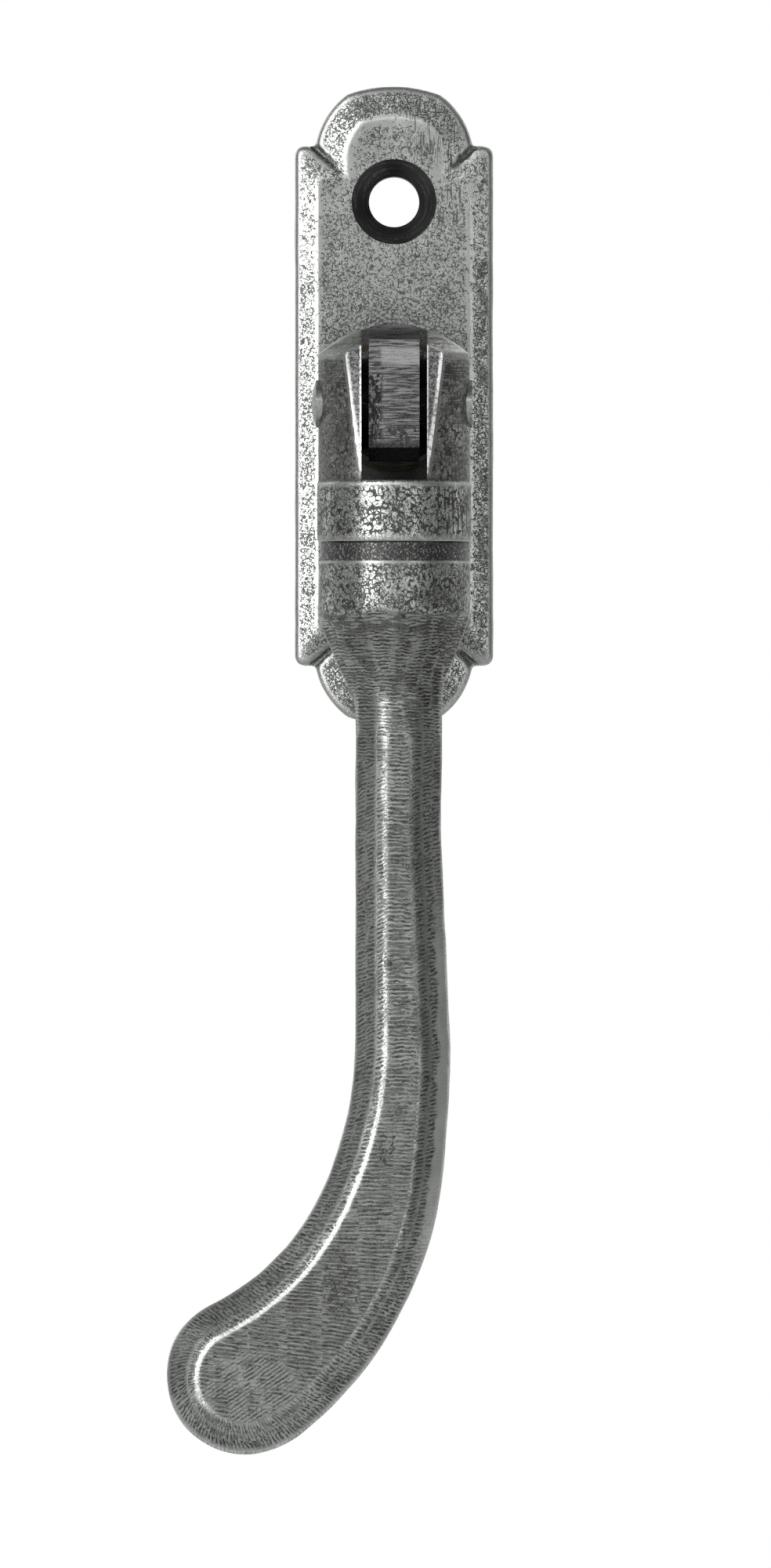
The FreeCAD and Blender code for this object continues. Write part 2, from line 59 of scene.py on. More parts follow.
# %% Camera
PICTURE_HIGH, PICTURE_OUT = 0.1648, 0.014
MIDDLE_X, MIDDLE_Z = -0.000906, -0.03987
CAMERA_AWAY = 3.0
camera = bpy.data.cameras.new("front_camera")
camera.sensor_width = 36
camera.lens = camera.sensor_width * (CAMERA_AWAY - PICTURE_OUT) / PICTURE_HIGH
camera_object = bpy.data.objects.new("front_camera", camera)
camera_object.location = (MIDDLE_X, -CAMERA_AWAY, MIDDLE_Z)
camera_object.rotation_euler = (math.radians(90), 0, 0)
bpy.context.scene.collection.objects.link(camera_object)
bpy.context.scene.camera = camera_object
print("lens", round(camera.lens), "mm")

# %% [markdown]
# ## The studio
# Polished metal has almost no colour of its own and shows the room instead. The real handle stood in a white
# room with a tall soft lamp to its left: that lamp makes the bright left bevel of the plate and the bright
# stripe down the head. A level strip above lights the tops, a thin upright one keeps the right sides from
# going black, and dark cards give the metal something dark to show, most of all on the right. The lamps are
# real area lamps. The white room and its cards are the world, painted by direction, so they cost no geometry.

# %% Node helper


class Value:
    """One result in a node tree. Adding, subtracting or multiplying it adds the node that does so."""

    def __init__(self, tree, socket):
        self.tree, self.socket = tree, socket

    def __add__(self, other):
        return self.tree.math("ADD", self, other)

    def __sub__(self, other):
        return self.tree.math("SUBTRACT", self, other)

    def __rsub__(self, other):
        return self.tree.math("SUBTRACT", other, self)

    def __mul__(self, other):
        return self.tree.math("MULTIPLY", self, other)

    def __truediv__(self, number):
        return self * (1 / number)

    def __abs__(self):
        return self.tree.math("ABSOLUTE", self)


class Finish:
    """A node tree with short calls: each call adds nodes and returns their result, ready to plug in."""

    def __init__(self, owner):
        owner.use_nodes = True
        self.owner = owner
        self.nodes = owner.node_tree.nodes
        self.links = owner.node_tree.links

    def add(self, kind, settings=None, result=0, **sockets):
        """Adds one node. Its sockets are filled by number (s0, s1) or by name, with _ for a blank."""
        node = self.nodes.new(kind)
        for name, setting in (settings or {}).items():
            setattr(node, name, setting)
        for name, given in sockets.items():
            self.plug(given, node.inputs[int(name[1:]) if name[1:].isdigit() else name.replace("_", " ")])
        return Value(self, node.outputs[result])

    def plug(self, given, socket):
        if isinstance(given, Value):
            self.links.new(given.socket, socket)
        else:
            socket.default_value = given

    def math(self, operation, a, b=0.0, clamp=False):
        return self.add("ShaderNodeMath", {"operation": operation, "use_clamp": clamp}, s0=a, s1=b)

    def vector(self, operation, a, b=(0, 0, 0), result=0):
        return self.add("ShaderNodeVectorMath", {"operation": operation}, result, s0=a, s1=b)

    def step(self, given, low, high):
        """Rises smoothly from 0 to 1 as the given value goes from low to high (or falls, if high is lower)."""
        ends = {"From_Min": min(low, high), "From_Max": max(low, high)}
        rising = self.add("ShaderNodeMapRange", {"interpolation_type": "SMOOTHSTEP"}, Value=given, **ends)
        return rising if low < high else 1.0 - rising

    def blend(self, amount, a, b):
        """Mixes two colours."""
        settings = {"data_type": "RGBA", "clamp_factor": True}
        return self.add("ShaderNodeMix", settings, result=2, s0=amount, s6=a, s7=b)


def grey(level):
    return (level, level, level, 1.0)


def direction(right, up):
    """Points away from the handle, so many degrees right of the camera and so many up."""
    right, up = math.radians(right), math.radians(up)
    return Vector((math.sin(right) * math.cos(up), -math.cos(right) * math.cos(up), math.sin(up)))


# %% The white room
# Cards: direction, degrees from its middle where the card is full and where it ends, how dark.
CARDS = [((54, 16), 18, 29, 0.88), ((100, 0), 24, 44, 0.5), ((-84, 5), 26, 42, 0.6)]
CARDS += [((0, 66), 30, 46, 0.6), ((0, -60), 20, 40, 0.4)]
room = Finish(bpy.data.worlds.new("white_room"))
bpy.context.scene.world = room.owner
room.nodes.clear()
toward = room.add("ShaderNodeTexCoord")
level = None
for aim, full, end, dark in CARDS:
    near = room.vector("DOT_PRODUCT", toward, direction(*aim), result=1)
    light = 1.0 - room.step(near, math.cos(math.radians(end)), math.cos(math.radians(full))) * dark
    level = light if level is None else level * light
studio = room.blend(level, grey(0.0), (0.84, 0.86, 0.84, 1.0))
# The camera itself sees plain white.
camera_ray = room.add("ShaderNodeLightPath")
background = room.add("ShaderNodeBackground", Color=room.blend(camera_ray, studio, grey(1.0)))
room.plug(background, room.nodes.new("ShaderNodeOutputWorld").inputs["Surface"])
print("cards:", len(CARDS))

# %% Lamps
# Each lamp: degrees right of the camera, degrees up, distance, width, height (m), brightness of its face.
LAMPS = {
    "left_softbox": (-33, 12, 0.9, 0.36, 0.85, 6.8),
    "right_strip": (28, -14, 0.9, 0.11, 0.7, 4.6),
    "top_strip": (-8, 24, 0.9, 0.95, 0.10, 4.0),
    "back_softbox": (165, 35, 1.0, 0.5, 0.5, 2.0),
    "side_softbox": (-118, 20, 1.0, 0.3, 0.7, 2.2),
    "far_strip": (112, 15, 1.0, 0.2, 0.7, 2.2),
}
AIM = Vector((0, -0.015, -0.035))
for name, (right, up, away, wide, high, face) in LAMPS.items():
    lamp = bpy.data.lights.new(name, "AREA")
    lamp.shape = "RECTANGLE"
    lamp.size, lamp.size_y = wide, high
    lamp.energy = face * math.pi * wide * high
    out = direction(right, up)
    lamp_object = bpy.data.objects.new(name, lamp)
    lamp_object.location = AIM + out * away
    lamp_object.rotation_euler = out.to_track_quat("Z", "Y").to_euler()
    lamp_object.visible_camera = False
    bpy.context.scene.collection.objects.link(lamp_object)
    print(name, round(lamp.energy, 2), "W")

# %% Floor
# A pale disc under the handle. For the camera it fades into the white before its edge.
FLOOR_Z, FLOOR_RADIUS = -0.17, 0.6
FADE_FROM, FADE_TO = 0.25, 0.55
bpy.ops.mesh.primitive_circle_add(
    vertices=96, radius=FLOOR_RADIUS, fill_type="NGON", location=(0, 0, FLOOR_Z)
)
floor = bpy.context.object
floor.name = "floor"
bpy.ops.object.transform_apply(location=True, rotation=True, scale=True)
chalk = Finish(bpy.data.materials.new("pale_floor"))
shader = chalk.nodes["Principled BSDF"]
shader.inputs["Base Color"].default_value = grey(0.86)
shader.inputs["Roughness"].default_value = 0.9
flat = chalk.vector("MULTIPLY", chalk.add("ShaderNodeTexCoord", result="Object"), (1, 1, 0))
fade = chalk.step(chalk.vector("LENGTH", flat, result=1), FADE_FROM, FADE_TO)
amount = fade * chalk.add("ShaderNodeLightPath")
white = chalk.add("ShaderNodeEmission", Color=grey(1.0), Strength=1.0)
both = chalk.add("ShaderNodeMixShader", s0=amount, s1=Value(chalk, shader.outputs["BSDF"]), s2=white)
chalk.plug(both, chalk.nodes["Material Output"].inputs["Surface"])
floor.data.materials.append(chalk.owner)

# %% [markdown]
# ## The bench
# Modelling by hand comes down to a few moves that every piece repeats: start from a primitive, go into edit
# mode, select some faces by where they are, and extrude, inset or scale them. Before each move everything is
# deselected, because an operator acts on all that is selected.

# %% Bench helpers
ALONG_Y = (math.radians(90), 0, 0)
ALONG_X = (0, math.radians(90), 0)


def take(piece, edit=False):
    """Makes this the only selected piece and the active one, and opens it in edit mode if asked."""
    bpy.ops.object.select_all(action="DESELECT")
    piece.select_set(True)
    bpy.context.view_layer.objects.active = piece
    if edit:
        bpy.ops.object.mode_set(mode="EDIT")


def start(name, move, **size):
    """Deselects everything and adds one primitive, in edit mode, with its place in its mesh."""
    bpy.ops.object.select_all(action="DESELECT")
    move(**size)
    piece = bpy.context.object
    piece.name = name
    bpy.ops.object.transform_apply(location=True, rotation=True, scale=True)
    bpy.ops.object.mode_set(mode="EDIT")
    bpy.ops.mesh.select_all(action="SELECT")
    return piece


def done(piece):
    """Turns all faces outwards and leaves edit mode."""
    bpy.ops.mesh.select_all(action="SELECT")
    bpy.ops.mesh.normals_make_consistent(inside=False)
    bpy.ops.object.mode_set(mode="OBJECT")
    return piece


def pick(piece, kind, test):
    """In edit mode, selects the faces, edges or vertices that pass the test."""
    bpy.ops.mesh.select_mode(type={"faces": "FACE", "edges": "EDGE", "verts": "VERT"}[kind])
    bpy.ops.mesh.select_all(action="DESELECT")
    mesh = bmesh.from_edit_mesh(piece.data)
    for element in getattr(mesh, kind):
        if test(element):
            element.select_set(True)
    bmesh.update_edit_mesh(piece.data)


def pull(x, y, z):
    """Extrudes what is selected by so many mm each way."""
    bpy.ops.mesh.extrude_region_move(TRANSFORM_OT_translate={"value": (x * MM, y * MM, z * MM)})


def slide(x, y, z):
    """Moves what is selected by so many mm each way."""
    bpy.ops.transform.translate(value=(x * MM, y * MM, z * MM))


def rod(name, radius, long, middle, rotation=ALONG_Y, vertices=96, far_radius=None):
    """Starts a rod, or a cone if its far radius differs, in mm. It lies along Y unless turned otherwise."""
    return start(
        name,
        bpy.ops.mesh.primitive_cone_add,
        vertices=vertices,
        radius1=radius * MM,
        radius2=(far_radius or radius) * MM,
        depth=long * MM,
        location=Vector(middle) * MM,
        rotation=rotation,
    )


def turned(name, rings, segments=96):
    """Turns a piece on the lathe: rings of (height, radius) in mm, each extruded from the last and scaled."""
    (z, radius), *others = rings
    piece = start(
        name,
        bpy.ops.mesh.primitive_circle_add,
        vertices=segments,
        radius=radius * MM,
        fill_type="NGON",
        location=(0, PIVOT_Y * MM, z * MM),
    )
    for next_z, next_radius in others:
        pull(0, 0, next_z - z)
        ratio = next_radius / radius
        bpy.ops.transform.resize(value=(ratio, ratio, 1), center_override=(0, PIVOT_Y * MM, next_z * MM))
        z, radius = next_z, next_radius
    return done(piece)


def finish_with(piece, kind, **settings):
    """Adds one modifier and applies it at once."""
    modifier = piece.modifiers.new(kind.lower(), kind)
    for name, setting in settings.items():
        setattr(modifier, name, setting)
    take(piece)
    bpy.ops.object.modifier_apply(modifier=modifier.name)


def combine(piece, tool, operation="DIFFERENCE"):
    """Cuts the piece with a tool, or joins or crosses them, and puts the tool away."""
    finish_with(piece, "BOOLEAN", object=tool, operation=operation, solver="EXACT", material_mode="TRANSFER")
    bpy.data.objects.remove(tool)


def coat(piece, finish):
    """Gives the whole piece one finish. A cut takes the finish of the tool that makes it."""
    piece.data.materials.clear()
    piece.data.materials.append(finish)
    piece.data.polygons.foreach_set("material_index", [0] * len(piece.data.polygons))
    return piece


def smooth(piece):
    """Shades the piece smooth, but for its sharp edges."""
    take(piece)
    bpy.ops.object.shade_smooth_by_angle(angle=math.radians(35))


def report(piece):
    """Prints the piece's low and high corner in mm and its number of triangles."""
    low, high = Vector((1e9,) * 3), Vector((-1e9,) * 3)
    for corner in piece.bound_box:
        low = Vector(map(min, low, corner))
        high = Vector(map(max, high, corner))
    triangles = sum(len(face.vertices) - 2 for face in piece.data.polygons)
    print(piece.name, [round(v / MM, 2) for v in (*low, *high)], triangles, "triangles")


def uneven(piece, size, height):
    """Pushes the surface in and out a little, in soft bumps of the given size (mm)."""
    texture = bpy.data.textures.new(f"{piece.name}_bumps", "CLOUDS")
    texture.noise_scale = size * MM
    texture.noise_depth = 1
    finish_with(piece, "DISPLACE", texture=texture, texture_coords="LOCAL", strength=height * MM, mid_level=0.75)


def mark_hollows(piece, passes):
    """Stores how far each point lies below (+) or above (-) its smoothed surroundings, in hundredths of a mm."""
    mesh = piece.data
    count = len(mesh.vertices)
    place = np.empty(count * 3)
    mesh.vertices.foreach_get("co", place)
    normal = np.empty(count * 3)
    mesh.vertices.foreach_get("normal", normal)
    ends = np.empty(len(mesh.edges) * 2, dtype=np.int64)
    mesh.edges.foreach_get("vertices", ends)
    place, normal, ends = place.reshape(-1, 3), normal.reshape(-1, 3), ends.reshape(-1, 2)
    neighbours = np.maximum(np.bincount(ends.ravel(), minlength=count), 1)
    soft = place.copy()
    for _ in range(passes):
        total = np.empty_like(soft)
        for axis in range(3):
            total[:, axis] = np.bincount(ends[:, 0], weights=soft[ends[:, 1], axis], minlength=count)
            total[:, axis] += np.bincount(ends[:, 1], weights=soft[ends[:, 0], axis], minlength=count)
        soft = total / neighbours[:, None]
    depth = ((soft - place) * normal).sum(axis=1) / (0.01 * MM)
    attribute = mesh.attributes.new("hollow", "FLOAT", "POINT")
    attribute.data.foreach_set("value", depth.astype(np.float32))
    print(piece.name, "hollow", round(float(depth.min()), 1), "to", round(float(depth.max()), 1))


# %% [markdown]
# ## Patina
# The finish is pewter over steel: the metal is blackened all over and then rubbed, so the high spots are
# bare and bright, and the dark stays in pits, scratches and corners. Each finish is therefore one bright
# metal, one dark skin, and a pattern that says where the skin is left. The same pattern lifts and lowers the
# surface a little and makes the dark places rougher, so colour, gloss and relief agree.

# %% Patterns for metal


class Metal(Finish):
    """A finish on a metal piece, with its patterns measured in millimetres on the piece itself."""

    def __init__(self, name):
        super().__init__(bpy.data.materials.new(name))
        self.shader = self.nodes["Principled BSDF"]
        self.shader.inputs["Metallic"].default_value = 1.0
        self.normal = self.add("ShaderNodeTexCoord", result="Normal")
        metres = self.add("ShaderNodeTexCoord", result="Object")
        self.place = self.add("ShaderNodeMapping", s0=metres, Scale=(1000, 1000, 1000))

    def axes(self, place=None):
        node = self.nodes.new("ShaderNodeSeparateXYZ")
        self.plug(place or self.place, node.inputs[0])
        return [Value(self, output) for output in node.outputs]

    def spot(self, a, b, c=0.0):
        return self.add("ShaderNodeCombineXYZ", s0=a, s1=b, s2=c)

    def stretched(self, size, place):
        """The place counted in features of the given size in mm, one number or one for each axis."""
        size = size if isinstance(size, tuple) else (size,) * 3
        return self.add("ShaderNodeMapping", s0=place or self.place, Scale=tuple(1 / s for s in size))

    def noise(self, size, detail=2.0, rough=0.55, bend=0.0, place=None):
        shape = {"Scale": 1.0, "Detail": detail, "Roughness": rough, "Distortion": bend}
        return self.add("ShaderNodeTexNoise", s0=self.stretched(size, place), **shape)

    def swing(self, size, **settings):
        """Noise that swings about 0."""
        return self.noise(size, **settings) - 0.5

    def cells(self, size, feature, place=None):
        """Distance from the middle (F1) or the border (DISTANCE_TO_EDGE) of cells of the given size."""
        return self.add("ShaderNodeTexVoronoi", {"feature": feature}, s0=self.stretched(size, place), Scale=1.0)

    def wavy(self, size, push, place=None):
        """The place in mm, pushed about by slow noise."""
        slow = self.add("ShaderNodeTexNoise", result=1, s0=self.place, Scale=1 / size, Detail=1.0)
        shift = self.vector("MULTIPLY", self.vector("SUBTRACT", slow, (0.5, 0.5, 0.5)), push)
        return self.vector("ADD", place or self.place, shift)

    def hollow(self, low, high):
        return self.step(self.add("ShaderNodeAttribute", {"attribute_name": "hollow"}, result="Fac"), low, high)

    def most(self, first, *others):
        for other in others:
            first = self.math("MAXIMUM", first, other)
        return first

    def far(self, a, b):
        return self.math("SQRT", a * a + b * b)

    def band(self, given, low, full, still, high):
        """Rises from 0 to 1 between low and full, and falls again between still and high."""
        return self.step(given, low, full) * self.step(given, high, still)

    def either(self, second, a, b):
        """The first value, or the second one where the switch is 1."""
        return self.add("ShaderNodeMix", s0=second, s2=a, s3=b)

    def near(self, at, reach):
        """1 close to a place (x, z) on the face, fading to 0 at the reach (mm each way)."""
        x, _, z = self.axes()
        aside, above = (x - at[0]) / reach[0], (z - at[1]) / reach[1]
        return self.step(aside * aside + above * above, 1.0, 0.4)

    def blackened(self, density):
        """The skin of a hot blackening: small cells in patches, a few large ones, and fine specks."""
        place = self.wavy(0.22, (0.11, 0.11, 0.11), place=self.wavy(0.9, (0.55, 0.55, 0.55)))
        patches = self.noise(1.9)
        small = self.step(self.cells((0.38, 0.38, 0.42), "F1", place), 0.56, 0.68)
        large = self.step(self.cells((0.6, 0.6, 0.68), "DISTANCE_TO_EDGE", place), 0.11, 0.03)
        specks = self.step(self.noise(0.16) + density, 0.55, 0.62) * 0.85
        return self.most(small * self.step(patches, 0.68, 0.56), large * self.step(patches, 0.42, 0.52), specks)

    def ladder(self, across, along, wide, high, low, full, sway, loose, start=0.15):
        """Columns of short dashes. A column is so wide, its dashes are so far apart, and it starts at its own
        height. Sway bends the dashes, loose frays the column's edges, low and full set the dashes' height."""
        column = across / wide + self.swing(3.0) * (0.9 * sway)
        own = self.add("ShaderNodeTexWhiteNoise", {"noise_dimensions": "1D"}, W=self.math("FLOOR", column))
        bend = self.noise(2.6) * (2.2 * sway) + self.noise(0.7) * (1.2 * sway)
        wave = self.math("SINE", (along / high + own * start + bend) * (2 * math.pi))
        dash = self.step(wave + self.swing((0.5, 0.5, 0.16)) * 2.8, low, full)
        stray = self.swing((0.8 * wide, 0.6 * high, 1.0), detail=0.0, place=self.spot(across, along))
        inside = self.math("FRACT", column) + stray * loose
        strong = self.step(self.noise(0.9), 0.38, 0.62) * 0.25 + 0.75
        return dash * strong * self.band(inside, 0.0, 0.08, 0.92, 1.0)

    def wear(self, skin, bright, dark, gloss, relief, cloud=None, worn=0.72, grain=0.9):
        """Finishes the metal: skin is 1 where the dark skin is left and 0 where the metal is bare. Gloss is the
        roughness of bare and dark, relief is in mm, and a cloud dulls the bare metal to its worn share."""
        skin = self.math("ADD", skin, self.swing(0.13) * grain, clamp=True)
        bare, black = (grey(tone) if isinstance(tone, float) else tone for tone in (bright, dark))
        if cloud is not None:
            bare = self.blend(cloud, bare, tuple(worn * c for c in bare[:3]) + (1.0,))
        self.plug(self.blend(skin, bare, black), self.shader.inputs["Base Color"])
        rough = self.add("ShaderNodeMapRange", Value=skin, To_Min=gloss[0], To_Max=gloss[1])
        self.plug(rough, self.shader.inputs["Roughness"])
        bump = self.add("ShaderNodeBump", Height=1.0 - skin, Strength=1.0, Distance=relief * MM)
        self.plug(bump, self.shader.inputs["Normal"])
        return self.owner


# %% [markdown]
# ### Plate finish
# The plate is cast and tumbled, so its dark skin is broken into a fine salt-and-pepper speckle a third of a
# millimetre across. Some clouds of it are denser than others, and so are the slopes of the lobes, while the
# valleys stay dark. The crests between slope and flat, the left slopes and the lobes' right slopes are painted
# paler: painted highlights where the bevels catch the lamps. The upper right was rubbed with something coarse,
# which left short upright scratches. The ring round the bush is painted dark, as a painted shadow of the head.
# In each finish the numbers are places in mm from the spindle's axis, or levels of noise from 0 to 1.

# %% Plate pewter
SCREW_Z = 21.5
LOBE_RADIUS, LOBE_Z = 8.4, 26.0
CROWN_RADIUS, CROWN_Z = 14.0, 19.7


def plate_pewter():
    metal = Metal("plate_pewter")
    x, _, z = metal.axes()
    side = abs(x)
    clouds = metal.noise(2.4, detail=3.0)
    sloping = metal.step(metal.axes(metal.normal)[1], -0.99, -0.93)
    beyond = abs(z) - LOBE_Z
    from_lobe = LOBE_RADIUS - metal.far(x, metal.most(beyond, 0.0))
    from_crown = CROWN_RADIUS - metal.far(x, beyond + (LOBE_Z - CROWN_Z))
    in_from_rim = metal.math("MINIMUM", from_lobe, from_crown)
    in_lobe = metal.step(beyond, -3.5, -1.5)
    crown = in_lobe * metal.step(in_from_rim, 3.3, 2.7)
    slab_crest = metal.band(side, 7.4, 7.9, 8.2, 8.5) * (1.0 - in_lobe)
    crest = metal.most(metal.band(in_from_rim, 2.8, 3.3, 3.6, 4.6) * in_lobe, slab_crest)
    # More or less skin than elsewhere. Less skin on the crests, the left slopes and the lobes' right slopes is a
    # painted highlight.
    density = (clouds - 0.5) * 0.14 + sloping * 0.03 - metal.step(z, 12.0, 17.0) * 0.03 - crest * 0.12
    density += crown * (metal.step(side, 5.5, 4.0) * 0.035 + 0.035)
    density -= sloping * (metal.step(x, -7.0, -8.0) * 0.05 + in_lobe * metal.step(x, 3.0, 5.0) * 0.14)
    density -= metal.step(x, 7.9, 8.4) * 0.01
    worms = metal.cells(0.40, "DISTANCE_TO_EDGE", metal.wavy(0.35, (0.35, 0.35, 0.35)))
    network = metal.step(worms, 0.14, 0.05) * metal.step(metal.noise(0.38) + density, 0.44, 0.53)
    pepper = metal.step(metal.noise(0.16, rough=0.6) + density, 0.52, 0.62)
    spots = metal.step(metal.noise(0.7), 0.69, 0.75)
    blots = metal.step(metal.noise(1.0, detail=4.0), 0.50, 0.58) * metal.band(x, 8.5, 9.2, 10.0, 10.3) * 0.75
    scratch = metal.step(metal.noise((0.16, 1.0, 2.6)), 0.55, 0.62) * 0.85
    scratch *= metal.band(x, -1.0, 3.0, 7.0, 8.6) * metal.step(z, 15.0, 20.0)
    speckle = metal.most(pepper, network) * (sloping * 0.06 + 0.90)
    skin = metal.most(speckle, metal.most(spots, blots) * 0.85, scratch)
    skin *= 1.0 - metal.hollow(-1.5, -6.0) * 0.7
    # Painted shadow: the plate behind the head and its slot is painted dark, where the head shades it; the dome
    # hides it from the front.
    across, up = x * 1.105, z + 0.6
    behind_head = metal.step(across * across + up * up, 80.0, 56.0)
    under_dome = metal.step(metal.far(x, metal.most(z + 2.9, 0.0)), 11.5, 11.3)
    in_slot = metal.step(side, 5.2, 3.5) * metal.step(z, -10.5, -7.5) * under_dome
    painted_head_shadow = metal.most(behind_head, in_slot)
    skin = metal.most(skin * 0.96, metal.hollow(4.0, 15.0) * 0.76, painted_head_shadow * 0.98)
    dull = metal.step(clouds, 0.42, 0.68) * 0.25 + (1.0 - sloping) * 0.55
    return metal.wear(skin, (0.355, 0.365, 0.35, 1.0), 0.03, gloss=(0.3, 0.48), relief=0.02, cloud=dull)


# %% [markdown]
# The screw holes are sunk after the blackening, then oiled black: a satin finish with faint turning marks
# round the hole. The marks are noise read along the distance from the screw's axis, so they run in circles.

# %% Black countersink


def sunk_black():
    metal = Metal("sunk_black")
    x, _, z = metal.axes()
    ring = metal.far(x, abs(z) - SCREW_Z)
    marks = metal.noise(1.0, detail=3.0, rough=0.5, place=metal.spot(ring * 5.0, x * 0.25, z * 0.25))
    bare = metal.step(metal.noise((0.3, 0.3, 0.5)), 0.45, 0.62) * 0.6 + 0.3
    # Painted highlight: the thin outer rim of the countersink is bare and bright.
    bare = metal.most(bare * metal.step(marks, 0.46, 0.66), metal.step(ring, 4.5, 4.6))
    return metal.wear(1.0 - bare, 0.17, 0.06, gloss=(0.32, 0.4), relief=0.012, grain=0.3)


# %% [markdown]
# ## The backplate
# The real plate is die cast: a bevelled slab with a lobe at each end, where the slopes of the two meet in
# short valleys. The slab is a cube whose front face is extruded and scaled in to make the bevels. The lobes
# are a disc pulled apart into a long bar, cropped by a flatter bar for the crowns. Joined, remeshed to an
# even skin and smoothed, the sharp edges turn into the soft edges of a casting.

# %% Plate blank
SLAB_WIDE, SLAB_HIGH = 20.92, 54.8
# The slab's front, and the heights where the lobes' and the slab's bevels begin.
FRONT, EDGE_OUT, SLAB_EDGE_OUT = 6.0, 4.97, 5.11
BEVEL, SLAB_SIDE_BEVEL = 3.4, 2.46
# The bevel rolls over in two steps, from the rim inwards: the first is this wide and rises this far.
ROLL = (0.30, 0.28)
# The valleys run from a notch in the rim to the slab's front: these are their ends, upper right.
NOTCH, VALLEY_END = (8.8, -5.0, 27.6), (4.6, -6.12, 23.8)


def bevelled(piece, half_x, half_z, inset_x, inset_z, edge_out=EDGE_OUT):
    """Pulls the front face forward and scales it in, once for each step of the rolled bevel."""
    pick(piece, "faces", lambda face: face.normal.y < -0.99)
    slope = (inset_x - ROLL[0], inset_z - ROLL[0], FRONT - edge_out - ROLL[1])
    for step_x, step_z, rise in ((ROLL[0], ROLL[0], ROLL[1]), slope):
        pull(0, -rise, 0)
        shrink = ((half_x - step_x) / half_x, 1, (half_z - step_z) / half_z)
        bpy.ops.transform.resize(value=shrink, center_override=(0, 0, 0))
        half_x, half_z = half_x - step_x, half_z - step_z


def long_bar(name, radius, apart):
    """A disc pulled apart into a bar with round ends, bevelled in front."""
    piece = rod(name, radius, EDGE_OUT, (0, -EDGE_OUT / 2, 0), vertices=128)
    bevelled(piece, radius, radius, BEVEL, BEVEL)
    for side in (1, -1):
        # After the first half has moved, the middle points are left for the second one.
        pick(piece, "verts", lambda vert: side * vert.co.z > side * 0.001 * MM)
        slide(0, 0, side * apart)
    return done(piece)


plate = start(
    "backplate_cast",
    bpy.ops.mesh.primitive_cube_add,
    size=1,
    location=(0, -SLAB_EDGE_OUT / 2 * MM, 0),
    scale=(SLAB_WIDE * MM, SLAB_EDGE_OUT * MM, SLAB_HIGH * MM),
)
pick(plate, "edges", lambda edge: abs((edge.verts[0].co - edge.verts[1].co).normalized().y) > 0.99)
bpy.ops.mesh.bevel(offset=1.0 * MM, segments=5)
bevelled(plate, SLAB_WIDE / 2, SLAB_HIGH / 2, SLAB_SIDE_BEVEL, BEVEL, SLAB_EDGE_OUT)
done(plate)
lobes = long_bar("lobes", LOBE_RADIUS, LOBE_Z)
combine(lobes, long_bar("crown", CROWN_RADIUS, CROWN_Z), "INTERSECT")
combine(plate, lobes, "UNION")
for right in (1, -1):
    for up in (1, -1):
        notch, inner = (Vector((right * x, y, up * z)) for x, y, z in (NOTCH, VALLEY_END))
        aim = (inner - notch).to_track_quat("Z", "Y").to_euler()
        middle, long = (notch + inner) / 2, (inner - notch).length
        combine(plate, done(rod("graver", 0.42, long, middle, aim, vertices=12, far_radius=0.12)))
report(plate)

# %% Plate skin
finish_with(plate, "REMESH", mode="VOXEL", voxel_size=0.2 * MM, use_smooth_shade=True)
finish_with(plate, "SMOOTH", factor=0.5, iterations=5)
uneven(plate, 4.0, 0.10)
mark_hollows(plate, 12)
report(plate)

# %% [markdown]
# The holes are cut last, so that their rims stay crisp: two countersunk screw holes, the bore for the bush,
# and behind, the round recess for the washer and the chamber of the spring. Each tool carries the finish of
# the surface that it leaves.

# %% Plate holes
PEWTER, BLACK = plate_pewter(), sunk_black()
CHAMBER_RADIUS, CHAMBER_LOW, CHAMBER_HIGH = 7.25, -6.5, 8.6
coat(plate, PEWTER)


def drill(name, radius, low, high, z=0.0, far_radius=None, finish=PEWTER):
    """Cuts the plate with a round tool along Y, from low to high (mm out of the wall)."""
    tool = rod(name, radius, high - low, (0, -(low + high) / 2, z), far_radius=far_radius)
    combine(plate, coat(done(tool), finish))


for z in (SCREW_Z, -SCREW_Z):
    drill("hole", 2.65, -1, 7, z, finish=BLACK)
    drill("sink", 2.65, 4.15, 6.15, z, far_radius=4.65, finish=BLACK)
drill("bore", 7.05, -1, 7)
drill("recess", 9.5, -1, 1.5)
# The chamber has a flat top: the upper half of a rod is pressed flat and lifted.
chamber = rod("chamber", CHAMBER_RADIUS, 4, (0, -1, 0), vertices=64)
pick(chamber, "verts", lambda vert: vert.co.z > 0.001 * MM)
bpy.ops.transform.resize(value=(1, 1, 0), center_override=(0, 0, 0))
slide(0, 0, CHAMBER_HIGH)
pick(chamber, "verts", lambda vert: vert.co.z < 8 * MM)
slide(0, 0, CHAMBER_LOW)
combine(plate, coat(done(chamber), PEWTER))
smooth(plate)
report(plate)
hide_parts("backplate")
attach(plate, "plate")

# %% [markdown]
# ### Head finish
# The knuckle's head was blackened hot: the skin dried in small cells, and rubbing left each cell bright inside
# a dark outline. Voronoi cells give this pattern, and the distance to a cell's edge gives its outline. The
# cells are bent by slow noise, drawn out upright on the right, and crossed by level scratches near the top.

# %% Head pewter
# The milled front: its distance from the wall at the spindle's height, and how far it leans back per mm.
MILL_OUT, MILL_LEAN = 26.507, 0.0859


